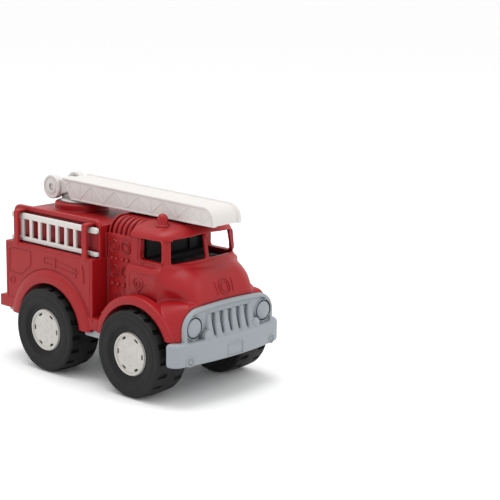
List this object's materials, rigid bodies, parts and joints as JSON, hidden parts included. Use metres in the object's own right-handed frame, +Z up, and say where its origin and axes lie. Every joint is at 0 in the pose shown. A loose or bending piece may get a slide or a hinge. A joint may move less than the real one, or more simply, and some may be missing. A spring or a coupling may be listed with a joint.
{
  "type": "toy fire engine",
  "caption": "Moulded plastic toy fire engine with rolling wheels, a turntable boom that lifts and turns, and slide-out side ladders.",
  "frame": {"origin": "on the ground, under the middle of the bounding box", "axes": "+X forward (boom tip end), +Y to the truck's left, +Z up"},
  "size_m": [0.275, 0.1574, 0.1906],
  "materials": {
    "red_plastic": "satin moulded red, fine grain",
    "grey_plastic": "satin moulded blue-grey",
    "white_plastic": "satin moulded off-white",
    "hub_plastic": "satin moulded warm white",
    "charcoal_plastic": "matte moulded charcoal",
    "tyre_rubber": "matte soft black"
  },
  "bodies": {
    "truck": {"body_shell": "red_plastic", "chassis": "grey_plastic", "chassis_rivets": "grey_plastic", "bumper_grille": "grey_plastic", "cab_liner": "charcoal_plastic", "beacon_left": "red_plastic", "beacon_right": "red_plastic"},
    "front_wheels": {"front_axle": "charcoal_plastic", "hub_front_left": "hub_plastic", "hub_front_right": "hub_plastic", "tyre_front_left": "tyre_rubber", "tyre_front_right": "tyre_rubber"},
    "rear_wheels": {"rear_axle": "charcoal_plastic", "hub_rear_left": "hub_plastic", "hub_rear_right": "hub_plastic", "tyre_rear_left": "tyre_rubber", "tyre_rear_right": "tyre_rubber"},
    "turntable": {"turntable": "white_plastic", "turntable_retainer": "white_plastic"},
    "boom": {"boom": "white_plastic", "boom_pin": "white_plastic"},
    "ladder_left": {"ladder_left": "white_plastic"},
    "ladder_right": {"ladder_right": "white_plastic"}
  },
  "joints": [
    {"name": "front_axle_spin", "type": "hinge", "parent": "truck", "child": "front_wheels", "pos_m": [0.0675, 0, 0.0435], "axis": [0, 1, 0], "continuous": true},
    {"name": "rear_axle_spin", "type": "hinge", "parent": "truck", "child": "rear_wheels", "pos_m": [-0.0565, 0, 0.0435], "axis": [0, 1, 0], "continuous": true},
    {"name": "turntable_spin", "type": "hinge", "parent": "truck", "child": "turntable", "pos_m": [-0.0845, 0, 0.165], "axis": [0, 0, 1], "continuous": true},
    {"name": "boom_lift", "type": "hinge", "parent": "turntable", "child": "boom", "pos_m": [-0.111, 0, 0.178], "axis": [0, -1, 0], "range_deg": [0, 75]},
    {"name": "ladder_left_slide", "type": "slide", "parent": "truck", "child": "ladder_left", "axis": [-1, 0, 0], "range_m": [0, 0.135]},
    {"name": "ladder_right_slide", "type": "slide", "parent": "truck", "child": "ladder_right", "axis": [-1, 0, 0], "range_m": [0, 0.135]}
  ]
}
